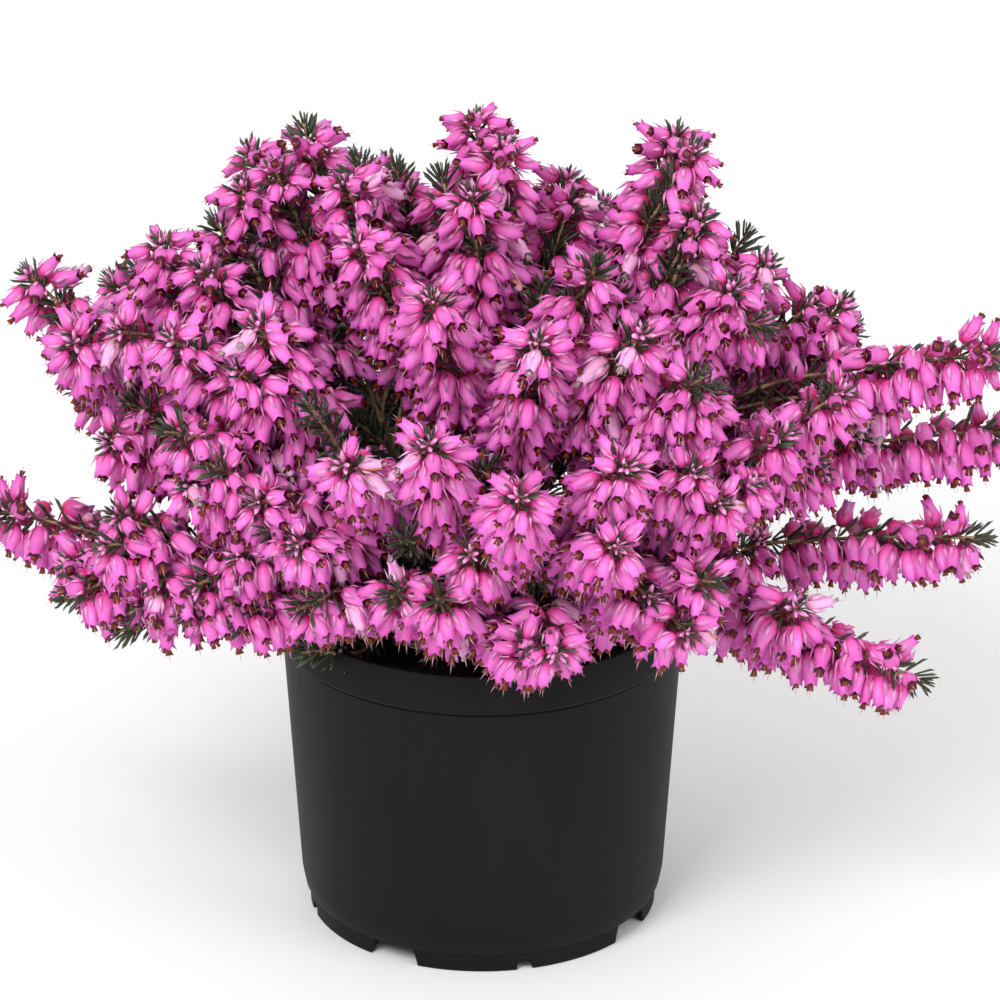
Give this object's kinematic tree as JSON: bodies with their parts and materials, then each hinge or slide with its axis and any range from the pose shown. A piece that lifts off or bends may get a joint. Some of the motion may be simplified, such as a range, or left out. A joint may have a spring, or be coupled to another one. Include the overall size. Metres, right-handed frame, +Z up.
{
  "type": "potted winter heath",
  "caption": "Bushy winter heath in full pink flower, its spreading sprays rising from peat in a plain round black nursery pot with a rim band and footed base.",
  "frame": {"origin": "on the pot's axis, on the surface that the pot stands on", "axes": "+Z up, +X to the viewer's right, -Y towards the viewer"},
  "size_m": [0.279, 0.2083, 0.2227],
  "materials": {
    "pot_plastic": "black injection-moulded polypropylene, soft satin",
    "peat": "moist dark brown peat with crumbs and fibres",
    "foliage": "tan woody stems with waxy dark grey-green needles",
    "petals": "soft magenta-pink bells, slightly translucent, with dark red-brown anthers"
  },
  "bodies": {
    "root": {"pot": "pot_plastic", "soil": "peat", "stems_front": "foliage", "stems_right": "foliage", "stems_back": "foliage", "stems_left": "foliage", "spray_front_01": "petals", "spray_front_02": "petals", "spray_front_03": "petals", "spray_front_04": "petals", "spray_front_05": "petals", "spray_front_06": "petals", "spray_front_07": "petals", "spray_front_08": "petals", "spray_front_09": "petals", "spray_front_10": "petals", "spray_front_11": "petals", "spray_front_12": "petals", "spray_front_13": "petals", "spray_front_14": "petals", "spray_front_15": "petals", "spray_right_01": "petals", "spray_right_02": "petals", "spray_right_03": "petals", "spray_right_04": "petals", "spray_right_05": "petals", "spray_right_06": "petals", "spray_right_07": "petals", "spray_right_08": "petals", "spray_right_09": "petals", "spray_right_10": "petals", "spray_right_11": "petals", "spray_right_12": "petals", "spray_right_13": "petals", "spray_right_14": "petals", "spray_back_01": "petals", "spray_back_02": "petals", "spray_back_03": "petals", "spray_back_04": "petals", "spray_back_05": "petals", "spray_back_06": "petals", "spray_back_07": "petals", "spray_back_08": "petals", "spray_back_09": "petals", "spray_back_10": "petals", "spray_left_01": "petals", "spray_left_02": "petals", "spray_left_03": "petals", "spray_left_04": "petals", "spray_left_05": "petals", "spray_left_06": "petals", "spray_left_07": "petals", "spray_left_08": "petals", "spray_left_09": "petals", "spray_left_10": "petals", "spray_left_11": "petals", "spray_left_12": "petals", "spray_left_13": "petals", "spray_left_14": "petals", "spray_left_15": "petals"}
  },
  "joints": []
}
